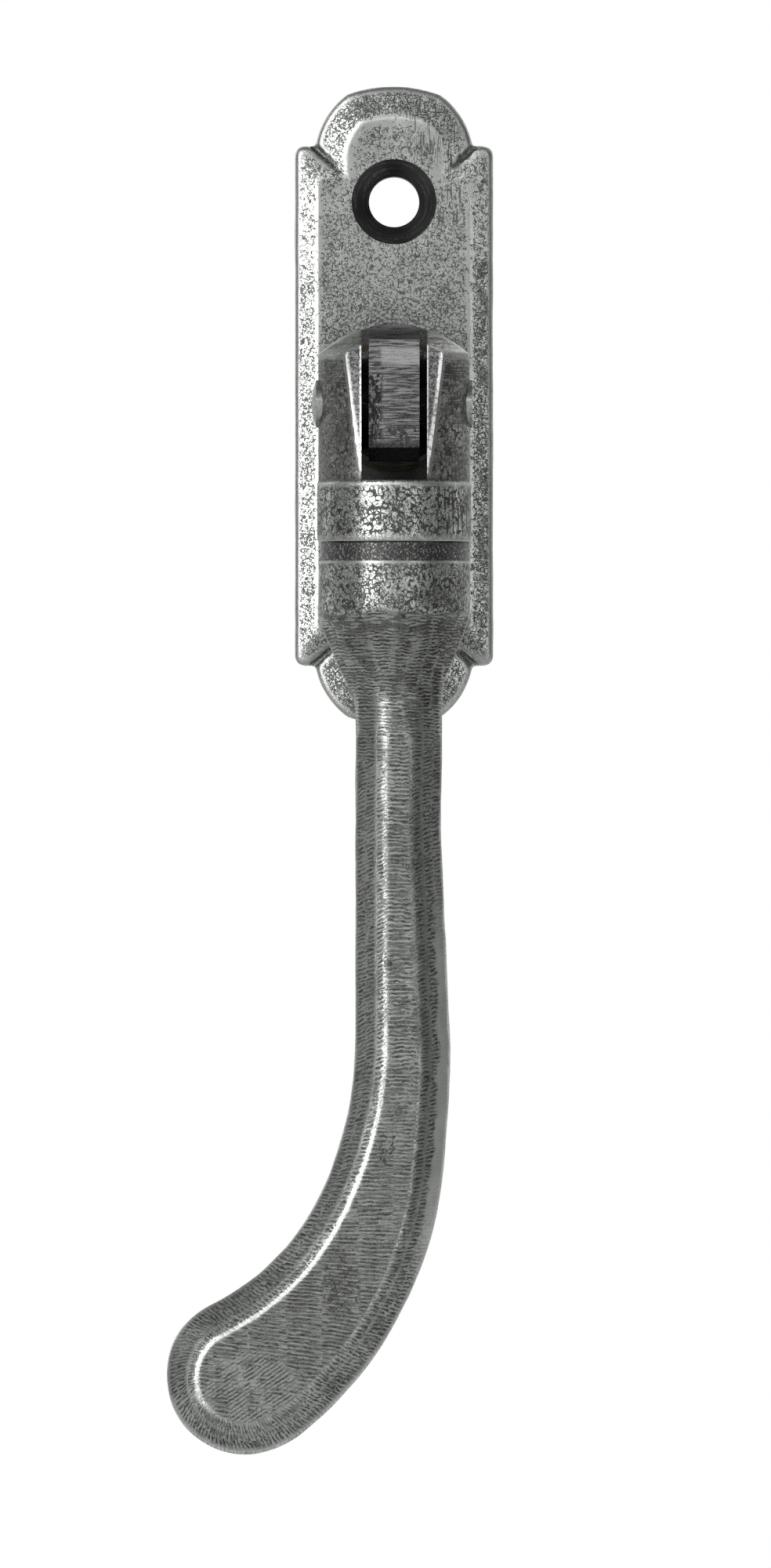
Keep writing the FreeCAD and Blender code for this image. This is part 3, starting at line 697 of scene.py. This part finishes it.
def head_pewter():
    metal = Metal("head_pewter")
    x, y, z = metal.axes()
    clouds = metal.noise(2.2)
    cheek = metal.step(z, -8.6, -7.4)
    # Painted shade: the head's left side gets more skin and duller metal, for the shade on that side.
    left = metal.step(x, -3.0, -5.0)
    cells = metal.blackened((clouds - 0.5) * 0.16 + cheek * 0.03 + left * 0.08)
    upright = metal.step(metal.noise((0.2, 0.2, 2.0)), 0.48, 0.58)
    upright *= metal.step(x, 3.2, 5.0) * metal.step(z, -4.0, -8.4)
    upper = metal.step(z, -2.0, 3.0) * 0.7 + metal.step(clouds, 0.42, 0.50) * 0.7
    level = metal.step(metal.noise((3.0, 3.0, 0.17), detail=3.0), 0.46, 0.53)
    level *= metal.math("MINIMUM", upper, 0.95)
    stain = metal.step(clouds, 0.35, 0.6) * 0.3 + 0.12
    skin = metal.most(cells, upright, metal.most(level, stain) * cheek)
    # Rubbed bright: the ridges. Painted highlights, as bare metal: the collar's two edges, the edge of the
    # milled front and the rim of the dome where it turns away from the front.
    edge = metal.most(metal.band(z, -8.80, -8.50, -8.35, -8.15), metal.step(z, -14.1, -14.35))
    corner = metal.step(y + MILL_OUT - z * MILL_LEAN, 0.30, 0.08) * metal.step(z, -8.1, -8.0)
    rim = metal.step(z, 4.7, 5.1) * metal.step(abs(metal.axes(metal.normal)[1]), 0.26, 0.12)
    skin *= 1.0 - metal.most(metal.hollow(-1.5, -5.0) * 0.5, edge * 0.75, corner * 0.9, rim)
    # Painted shade: a dark band on the cheeks just above the collar's step.
    shade = metal.band(z, -8.25, -8.10, -8.05, -7.2) * 0.8
    dull = metal.most(metal.step(clouds, 0.4, 0.6) * 0.5, left * 0.6, cheek)
    skin = metal.most(skin * 0.95, shade)
    return metal.wear(skin, (0.37, 0.38, 0.36, 1.0), 0.028, gloss=(0.28, 0.5), relief=0.04, cloud=dull)


# %% Slot and milled finishes


# Painted shade: the slot's walls and floor are painted near black for the shade deep in the slot, over their
# blackening. The two pivot washers take this finish too.
def slot_black():
    metal = Metal("slot_black")
    skin = metal.step(metal.noise((1.0, 0.5, 0.2), detail=3.0), 0.74, 0.55)
    return metal.wear(skin, 0.05, 0.006, gloss=(0.5, 0.6), relief=0.01)


def milled_bright():
    metal = Metal("milled_bright")
    x, y, _ = metal.axes()
    lines = metal.step(metal.noise((1.6, 1.6, 0.16), detail=3.0), 0.48, 0.56) * 0.7
    specks = metal.step(metal.noise(0.22), 0.50, 0.58)
    # Painted highlights: the outer and the inner edge of each cheek are painted bare and bright, with gaps.
    edge = metal.most(metal.step(metal.far(x, y - PIVOT_Y), 7.66, 7.84), metal.step(abs(x), 3.68, 3.5))
    edge *= 1.0 - metal.step(metal.noise(0.4), 0.52, 0.6) * 0.6
    skin = (metal.most(lines, specks) * 0.22 + 0.76) * (1.0 - edge)
    return metal.wear(skin, 0.55, 0.03, gloss=(0.3, 0.45), relief=0.02)


# %% [markdown]
# ## The knuckle's head
# A turned piece with a domed top, slotted for the tongue and milled flat on both cheeks. It is drawn out of a
# disc ring by ring like a turning, then sawn with a box and milled with a leaning one. The long walls get
# extra loops before that, so that slow unevenness has points to move.

# %% Head
DOME_MIDDLE, DOME_RADIUS = -3.1, 11.5
SLOT_FLOOR, SLOT_HALF = -8.07, 3.45
HEAD_RADIUS, COLLAR_RADIUS = 7.95, 8.1
rings = [(-14.5, 7.85), (-14.42, 8.0), (-14.25, COLLAR_RADIUS), (-8.32, COLLAR_RADIUS)]
rings += [(SLOT_FLOOR, HEAD_RADIUS), (5.1, HEAD_RADIUS)]
for degrees in (43, 41, 38, 33, 27, 21, 14, 7):
    turn = math.radians(degrees)
    rings.append((DOME_MIDDLE + DOME_RADIUS * math.cos(turn), DOME_RADIUS * math.sin(turn)))
head = turned("fork_head_worn", rings, segments=192)


def rise(edge):
    return abs(edge.verts[0].co.z - edge.verts[1].co.z)


def add_loops(piece, spacing):
    """Divides every wall that is taller than the spacing (mm) by level loops."""
    take(piece, edit=True)
    rises = [rise(edge) for edge in bmesh.from_edit_mesh(piece.data).edges]
    for height in sorted({round(one, 6) for one in rises if one > spacing * MM}):
        pick(piece, "edges", lambda edge: abs(rise(edge) - height) < 2e-6)
        bpy.ops.mesh.subdivide(number_cuts=int(height / MM / spacing))
    done(piece)


add_loops(head, 0.3)
uneven(head, 3.0, 0.09)
mark_hollows(head, 6)
coat(head, head_pewter())
report(head)

# %% Slot and cheeks


def box_tool(name, low, high, finish):
    """A block from its low to its high corner, in mm."""
    middle = [(a + b) / 2 * MM for a, b in zip(low, high)]
    size = [(b - a) * MM for a, b in zip(low, high)]
    return coat(done(start(name, bpy.ops.mesh.primitive_cube_add, size=1, location=middle, scale=size)), finish)


mill = box_tool("mill", (-12, -34, SLOT_FLOOR), (12, -27.2, 9.4), milled_bright())
take(mill, edit=True)
pick(mill, "verts", lambda vert: vert.co.z > 0)
slide(0, 1.5, 0)
combine(head, done(mill))
combine(head, box_tool("saw", (-SLOT_HALF, -40, SLOT_FLOOR), (SLOT_HALF, 0, 10), slot_black()))
combine(head, coat(done(rod("reamer", 2.53, 30, (0, PIVOT_Y, 0), ALONG_X)), head.data.materials[0]))
smooth(head)
report(head)
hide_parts("fork_head")
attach(head, "handle")

# %% [markdown]
# ### Grip finish
# The grip was hammered over a rough stake, which left rows of short dents a millimetre or two long and less
# than half a millimetre apart. The skin stays in them as dark dashes. A ladder pattern gives them: columns of
# dashes, bent by slow noise and broken at their ends. On the bevels the columns follow the outline, which an
# attribute called strap measures on the mesh: distance in from the rim, length along it, and depth. The drop's
# flat was filed instead, and the crease round it carries a painted highlight on its lit side.

# %% Grip pewter


def grip_pewter():
    metal = Metal("grip_pewter")
    x, y, z = metal.axes()
    strap = metal.add("ShaderNodeAttribute", {"attribute_name": "strap"}, result="Vector")
    rim, run, depth = metal.axes(strap)
    deep = abs(depth)
    slow = metal.swing(4.2, detail=1.0)
    clouds = metal.noise(3.0, detail=3.0)
    density = (clouds - 0.5) * 0.3
    # On the bevels the dashes stand across the rim, a little slanted; on the flat and the neck they lie level.
    on_strap = metal.math("LESS_THAN", z + slow * 4.0, -37.0)
    on_flat = metal.math("GREATER_THAN", deep, 4.265)
    column = metal.either(on_flat, rim / 1.03, (x + 0.95) / 2.8)
    column = metal.either(on_strap, (x + y * 0.8) / 2.1, column)
    row = metal.either(on_strap, z * 1.2, metal.either(on_flat, run + rim * 0.35, z))
    dash = metal.ladder(column, row, 1.0, 0.44, low=-0.35, full=0.35, sway=0.9, loose=1.1, start=7.0)
    dash *= metal.step(metal.noise(1.1) + density, 0.24, 0.40)
    threads = metal.noise((0.8, 0.16, 1.0), place=metal.spot(column, row))
    hammered = metal.most(dash, metal.step(threads + density, 0.48, 0.58) * 0.7)
    # The drop's flat was filed: long fine lines that dip to the right low down, crossed by a slanting patch.
    file_row = z + x * metal.step(z, -84.0, -98.0) * 0.13
    files = metal.ladder(x, file_row, 3.8, 0.43, low=-0.4, full=0.3, sway=0.45, loose=1.5)
    more_files = metal.ladder(x + 1.3, file_row, 2.6, 0.33, low=0.3, full=0.9, sway=0.45, loose=1.5)
    file_marks = metal.noise((1.8, 0.13, 1.0), place=metal.spot(x, file_row + slow * 0.5))
    filed = metal.most(files, more_files * 0.55, metal.step(file_marks, 0.46, 0.58) * 0.7)
    rotated = {"Vector": metal.place, "Angle": math.radians(34)}
    slanting = metal.add("ShaderNodeVectorRotate", {"rotation_type": "Y_AXIS"}, **rotated)
    crossed_x, _, crossed_z = metal.axes(slanting)
    crossed = metal.ladder(crossed_x, crossed_z, 5.0, 0.38, low=-0.1, full=0.5, sway=0.35, loose=1.4)
    patch = metal.near((-14.8, -103.2), (6.0, 4.6)) * metal.step(metal.noise(1.6), 0.40, 0.50)
    filed = metal.either(patch, filed, metal.most(crossed, filed * 0.45))
    on_drop = on_flat * metal.step(z + slow * 8.0, -70.0, -80.0)
    skin = metal.either(on_drop, hammered, filed)
    # Pits where the real one has them, and three deep ones on the bar.
    pits = metal.step(metal.noise((0.5, 0.5, 0.4), detail=3.0, bend=0.8), 0.53, 0.58) * 0.97
    pits *= metal.most(metal.near((-5.5, -92.2), (2.6, 4.6)), metal.near((-0.6, -78.4), (1.3, 2.2)))
    broken = metal.near((1.9, -48.5), (1.3, 0.6)) * metal.step(metal.noise(0.35), 0.50, 0.56)
    dents = metal.most(metal.near((-0.5, -58.7), (0.5, 0.32)), metal.near((3.65, -70.6), (0.33, 0.33)), broken)
    skin = metal.most(skin, pits, dents)
    # The bevel's inner edges, told by their depth. The upper one is painted white on the drop and the low bar,
    # on its lit side only: a painted highlight.
    below_neck = metal.step(z, -30.0, -33.0)
    crest = metal.band(deep, 4.12, 4.19, 4.27, 4.30) * below_neck
    facet = metal.band(deep, 3.54, 3.64, 3.74, 3.84) * below_neck
    white = crest * metal.step(run, 106.0, 98.0) * metal.step(z, -58.0, -84.0)
    # A smoother strip runs down the right rim, outside the facets.
    torn = metal.swing(0.9) * 1.1
    plain = metal.step(rim + slow * 1.2 + torn, 1.5, 1.0) * metal.step(deep, 1.5, 2.2)
    plain *= metal.step(z, -46.0, -60.0) * metal.step(x + torn * 1.5, 1.0, 4.0) * 0.85
    skin *= 1.0 - metal.most(metal.hollow(-2.0, -7.0) * 0.6, white * 0.6, facet * 0.4, plain)
    # The neck is painted darker for its shade, most of all on its right, and ragged where it meets the collar.
    skin += metal.band(z, -34.0, -29.0, -24.0, -22.5) * (metal.step(x, 0.5, 5.0) * 0.24 + 0.05)
    scallop = metal.step(metal.noise((1.9, 1.9, 0.8), detail=1.0), 0.48, 0.54) * 0.75
    skin = metal.most(skin, scallop * metal.band(z, -24.6, -23.6, -22.1, -21.7))
    # The collar above is blackened like the head. The lip under its dark groove is painted bare: a painted
    # highlight along the edge.
    on_collar = metal.step(z + slow * 1.8, -22.0, -21.6)
    skin = metal.either(on_collar, skin, metal.blackened(density + 0.05))
    skin *= 1.0 - metal.band(z, -16.95, -16.65, -16.5, -16.3) * 0.8
    groove = metal.band(z, -16.55, -16.45, -14.6, -14.3) * 0.97
    groove *= 1.0 - metal.step(metal.noise((0.22, 0.22, 0.26)), 0.52, 0.60) * 0.75
    skin = metal.most(skin * 0.94, groove, metal.hollow(3.0, 9.0))
    # The bare metal is duller in clouds and everywhere below the collar, but for the painted highlight on the
    # crease and the smoother strip. Higher up the bar the crease is painted duller, to tone down its glint.
    clouded = metal.step(clouds, 0.42, 0.66) * 0.6
    below = (1.0 - metal.most(on_collar, white, plain)) * (clouded * 0.4 + metal.either(on_flat, 0.2, 1.0))
    tired = crest * metal.step(z, -72.0, -55.0) * 0.35
    dull = metal.most(clouded * on_collar, below) * 0.4 + tired + 0.56
    dull *= 1.0 - metal.most(white * 0.6, plain)
    return metal.wear(
        skin, (0.48, 0.494, 0.473, 1.0), 0.03, gloss=(0.3, 0.48), relief=0.022, cloud=dull, worn=0.45, grain=1.2
    )


# %% [markdown]
# ## The forged grip
# The blade is a flat bar that swings into a drop, with its face bevelled by hand. Its outline is drawn as a
# draughtsman does: from one point, straight runs are extruded and tangent arcs are spun, each from where the
# last one ended. The face is filled, extruded to the bar's depth and inset three times on each side, because
# the smith's bevel is steep outside and nearly flat inside. The neck is turned, then filed: a few flats run
# down its taper.

# %% Blade outline
INNER, OUTER, BLADE_TOP = -4.1, 4.95, -24.0
# The outline's points (x, z), from well above the blade, for measuring the strap later.
OUTLINE = [(INNER, -10.0)]
blade = start(
    "grip_forged",
    bpy.ops.mesh.primitive_plane_add,
    size=1 * MM,
    location=(INNER * MM, PIVOT_Y * MM, BLADE_TOP * MM),
)
bpy.ops.mesh.merge(type="CENTER")


def straight_to(x, z, at):
    OUTLINE.append((x, z))
    pull(x - at[0], 0, z - at[1])
    return x, z


def arc(at, heading, turn, radius):
    """Spins the last point through an arc. Headings are degrees from straight down, towards the left."""
    side = 1 if turn > 0 else -1
    a, b = math.radians(heading), math.radians(heading + turn)
    middle = (at[0] - side * radius * math.cos(a), at[1] + side * radius * math.sin(a))
    steps = max(6, round(abs(b - a) * radius / 0.8))
    for step in range(1, steps + 1):
        now = a + (b - a) * step / steps
        at = (middle[0] + side * radius * math.cos(now), middle[1] - side * radius * math.sin(now))
        OUTLINE.append(at)
    centre = (middle[0] * MM, PIVOT_Y * MM, middle[1] * MM)
    bpy.ops.mesh.spin(steps=steps, angle=abs(b - a), center=centre, axis=(0, -side, 0))
    return at, heading + turn


# Arcs: degrees turned to the left (or to the right, below 0) and radius.
ARCS = [(27, 37.6), (37, 24.5), (-154, 8.15), (-38.4, 9.5), (-44.6, 40), (-7, 120)]
at, heading = straight_to(INNER, -66.9, (INNER, BLADE_TOP)), 0
for turn, radius in ARCS:
    at, heading = arc(at, heading, turn, radius)
    print("arc", turn, "ends at", [round(v, 2) for v in at])
at = straight_to(OUTER, -45, at)
at = straight_to(OUTER + 0.25, BLADE_TOP, at)
OUTLINE.append((OUTER + 0.25, -10.0))
bpy.ops.mesh.select_all(action="SELECT")
bpy.ops.mesh.edge_face_add()

# %% Blade body
BLADE_DEEP, BEVEL_DEEP = 8.6, 2.3
# Three insets make the bevel: how wide each is and how far it rises.
INSETS = ((2.05, 1.68), (0.88, 0.48), (0.50, 0.14))
# The blade leans away from the window, about a level line in the neck.
LEAN, LEAN_Z = math.radians(6), -27.0
slide(0, BLADE_DEEP / 2 - BEVEL_DEEP, 0)
pull(0, 2 * BEVEL_DEEP - BLADE_DEEP, 0)
bpy.ops.mesh.select_all(action="SELECT")
bpy.ops.mesh.normals_make_consistent(inside=False)
for front in (-1, 1):
    pick(blade, "faces", lambda face: face.normal.y * front > 0.99)
    for wide, rise_by in INSETS:
        bpy.ops.mesh.inset(thickness=wide * MM, depth=rise_by * MM)
# The bevel is narrower under the drop than on its inner side: the flats slide down a tenth at a time.
flats = (BLADE_DEEP / 2 - 0.95) * MM
for height in (-78, -81, -84, -87, -90):
    pick(blade, "verts", lambda vert: vert.co.z < height * MM and abs(vert.co.y - PIVOT_Y * MM) > flats)
    slide(0, 0, -0.1)
bpy.ops.mesh.select_all(action="SELECT")
bpy.ops.transform.rotate(value=LEAN, orient_axis="X", center_override=(0, PIVOT_Y * MM, LEAN_Z * MM))
done(blade)
report(blade)

# %% Neck
TAPER = [(-30.6, 4.9), (-28.5, 5.6), (-26.4, 6.45), (-24.2, 7.4), (-22.9, 7.92), (-22.2, 8.0)]
# Flats: direction (degrees right of the front), height where the flat is set, depth there, lean in degrees.
FLATS = [(-62, -25.5, 0.4, 24), (-36, -25.0, 0.5, 22), (-11, -24.2, 0.45, 20), (14, -24.6, 0.5, 21)]
FLATS += [(38, -24.6, 0.5, 22), (63, -25.6, 0.4, 24)]
FLATS += [(right, -25, 0.3, 22) for right in (100, 140, -100, -140, 180)]
neck = turned("neck", [(-34, 4.0), (-33.5, 4.1), (-32.4, 4.3), (-31.4, 4.6), *TAPER, (-14.5, 8.0)])
take(neck, edit=True)
for right, z, deep, lean in FLATS:
    outward = direction(right, 0)
    down = math.radians(lean)
    normal = (outward * math.cos(down) - Vector((0, 0, math.sin(down)))).normalized()
    point = Vector((0, PIVOT_Y, z)) + outward * (np.interp(z, *zip(*TAPER)) - deep)
    bpy.ops.mesh.select_all(action="SELECT")
    bpy.ops.mesh.bisect(plane_co=point * MM, plane_no=normal, clear_outer=True, use_fill=True)
done(neck)
report(neck)

# %% Grip skin
take(neck)
blade.select_set(True)
bpy.context.view_layer.objects.active = blade
bpy.ops.object.join()
grip = blade
finish_with(grip, "REMESH", mode="VOXEL", voxel_size=0.236 * MM, use_smooth_shade=True)
finish_with(grip, "SMOOTH", factor=0.5, iterations=3)
take(grip, edit=True)
pick(grip, "verts", lambda vert: -35 < vert.co.z / MM < -28.5)
bpy.ops.mesh.vertices_smooth(factor=0.5, repeat=30)
done(grip)


def mark_strap(piece):
    """Stores, for each point, its distance in from the outline, its place along it and its depth, in mm."""
    mesh = piece.data
    place = np.empty(len(mesh.vertices) * 3)
    mesh.vertices.foreach_get("co", place)
    place = place.reshape(-1, 3) / MM
    # The blade's lean is undone first.
    y, z = place[:, 1] - PIVOT_Y, place[:, 2] - LEAN_Z
    upright = np.stack([place[:, 0], y * math.sin(LEAN) + z * math.cos(LEAN) + LEAN_Z], axis=1)
    outline = np.array(OUTLINE)
    starts, spans = outline[:-1], np.diff(outline, axis=0)
    lengths = np.hypot(*spans.T)
    before = np.concatenate([[0], np.cumsum(lengths)[:-1]])
    strap = np.zeros((len(place), 3))
    strap[:, 2] = y * math.cos(LEAN) - z * math.sin(LEAN)
    nearest = np.full(len(place), 1e9)
    for start_point, span, length, run in zip(starts, spans, lengths, before):
        if length < 1e-6:
            continue
        offset = upright - start_point
        share = np.clip(offset @ span / length**2, 0, 1)
        distance = np.hypot(*(offset - share[:, None] * span).T)
        closer = distance < nearest
        nearest[closer] = strap[closer, 0] = distance[closer]
        strap[closer, 1] = run + share[closer] * length
    attribute = mesh.attributes.new("strap", "FLOAT_VECTOR", "POINT")
    attribute.data.foreach_set("vector", strap.astype(np.float32).ravel())
    print("strap", [round(float(v), 1) for v in strap.max(axis=0)])


mark_strap(grip)
uneven(grip, 6.0, 0.20)
uneven(grip, 2.5, 0.06)
mark_hollows(grip, 10)
coat(grip, grip_pewter())
report(grip)

# %% Grip groove
GROOVE_LOW, GRIP_TOP, GROOVE_RADIUS = -16.5, -14.5, 7.65
groove = turned("groove", [(GROOVE_LOW, GROOVE_RADIUS), (-14.0, GROOVE_RADIUS)], segments=192)
ring = turned("ring", [(GROOVE_LOW, 9.5), (-14.0, 9.5)], segments=64)
combine(ring, groove)
combine(grip, coat(ring, grip.data.materials[0]))
combine(grip, box_tool("end", (-12, -34, GRIP_TOP), (12, -6, -10), grip.data.materials[0]))
smooth(grip)
report(grip)
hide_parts("grip")
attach(grip, "handle")

# %% [markdown]
# ### Small steels
# The tongue is bare forged steel, filed level, with black scale left in chips along its left edge; its turret
# behind the head is blackened. Its face carries a painted highlight in a band, and its top, its underside and
# the parts deep in the slot carry painted shade. The pin and the other washers are drawn and turned steel, the
# spindle is zinc plated, the bush is brass gone dark with oil and painted nearly black for the shade behind the
# head, and the spring is blued. One recipe serves these others: brushing along one direction, a light stain,
# and the right colour for the metal.

# %% Tongue steel


def knuckle_steel():
    metal = Metal("knuckle_steel")
    x, y, z = metal.axes()
    files = metal.noise((2.6, 2.6, 0.14), detail=3.0, place=metal.wavy(2.5, (0.0, 0.0, 0.2)))
    # Painted highlight: a band across the tongue's face keeps fewer file lines and bright metal.
    highlight_band = metal.band(z, 3.7, 4.3, 5.6, 6.1) * metal.step(x, -1.6, -1.1)
    scratches = metal.step(files, 0.44, 0.58) * 0.84 * (1.0 - highlight_band * 0.6)
    chips = metal.step(metal.noise((0.5, 0.5, 0.8), detail=3.0, bend=0.6), 0.46, 0.50)
    chips *= metal.step(x, -0.7, -1.6) * metal.step(z, 3.6, 2.9)
    blots = metal.step(metal.noise((0.6, 0.6, 0.9), detail=3.0), 0.50, 0.55) * metal.step(z, -1.2, -3.0) * 0.85
    # Painted shade: the tongue's top under the dome, its parts deep in the slot and its underside are painted
    # dark.
    brow_shade = metal.step(z, 6.3, 6.9) * 0.6
    slot_depth_shade = metal.step(y, -23.0, -21.0) * 0.98
    low = metal.step(z, -3.4, -4.4) * 0.9
    skin = metal.most(scratches, chips, blots, brow_shade, slot_depth_shade, low)
    # Behind the head the turret shows from the sides and above.
    turret = metal.step(y, -12.8, -11.8) * metal.most(metal.step(abs(x), 3.7, 4.2), metal.step(z, 4.0, 5.0))
    skin = metal.either(turret, skin, metal.blackened(0.03) * 0.35 + 0.5)
    return metal.wear(skin, 0.245, 0.014, gloss=(0.34, 0.5), relief=0.03, cloud=1.0 - highlight_band)


def brushed(name, colour, stain, size, gloss, relief=0.008):
    metal = Metal(name)
    lines = metal.step(metal.noise(size, detail=3.0), 0.42, 0.68)
    blotch = metal.step(metal.noise(1.6, detail=4.0), 0.52, 0.70)
    return metal.wear(lines * 0.45 + blotch * 0.45, colour, stain, gloss=gloss, relief=relief)


# The bush is oiled brass, painted near black for the shade behind the head.
OILED_AND_SHADED, OIL_AND_SHADE = (0.04, 0.034, 0.024, 1), (0.02, 0.017, 0.012, 1)
SLOT_SHADE = bpy.data.materials["slot_black"]
STEELS = {
    "pivot_post": knuckle_steel(),
    "pivot_pin": brushed("pin_steel", (0.26, 0.265, 0.26, 1), 0.04, (0.5, 0.35, 0.35), (0.32, 0.5), 0.02),
    "spindle_bar": brushed("zinc_steel", (0.55, 0.57, 0.60, 1), 0.22, (0.2, 3.0, 0.2), (0.28, 0.42)),
    "rotor_bush": brushed("bush_brass", OILED_AND_SHADED, OIL_AND_SHADE, (0.25, 1.5, 0.25), (0.3, 0.45)),
    "pivot_washer_left": SLOT_SHADE,
    "pivot_washer_right": SLOT_SHADE,
    "detent_spring": brushed("spring_steel", (0.12, 0.14, 0.19, 1), 0.04, (0.15, 0.15, 2.0), (0.25, 0.4)),
}
WASHER = brushed("washer_steel", (0.48, 0.49, 0.48, 1), 0.15, (0.6, 0.2, 0.6), (0.28, 0.45))
for node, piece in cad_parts.items():
    for socket in piece.material_slots:
        socket.material = STEELS.get(node, WASHER)
    print(node, piece.material_slots[0].material.name)

# %% View transform
bpy.context.scene.view_settings.view_transform = "Standard"
